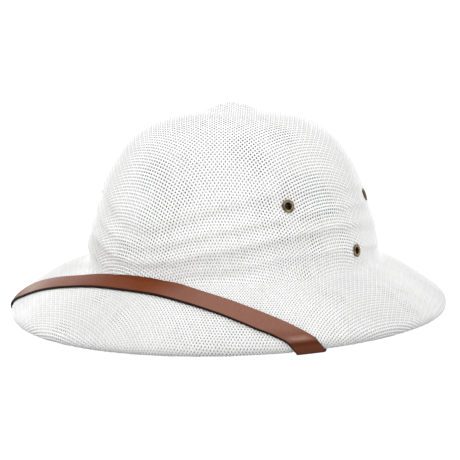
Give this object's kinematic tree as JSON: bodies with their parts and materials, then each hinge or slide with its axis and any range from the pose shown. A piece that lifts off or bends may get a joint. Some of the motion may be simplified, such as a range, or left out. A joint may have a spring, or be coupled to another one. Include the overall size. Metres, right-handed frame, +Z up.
{
  "type": "pith helmet",
  "caption": "Domed sun helmet of woven straw with a soft top button, pressed folds round the crown, a down-sloping brim, a leather band over the front brim and brass vent eyelets",
  "frame": {"origin": "centre of the footprint, on the surface that the helmet rests on", "axes": "+Z up, the wearer's front towards -Y, +X to the wearer's left; the helmet is the same on both sides of X = 0"},
  "size_m": [0.2952, 0.3332, 0.1473],
  "materials": {
    "straw": "matte white open-weave straw cloth",
    "leather": "smooth brown leather with dark edges and a low sheen",
    "brass": "darkened antique brass"
  },
  "bodies": {
    "root": {"helmet_shell": "straw", "front_band": "leather", "eyelet_left_front": "brass", "eyelet_left_low": "brass", "eyelet_left_rear": "brass", "eyelet_right_front": "brass", "eyelet_right_low": "brass", "eyelet_right_rear": "brass"}
  },
  "joints": []
}
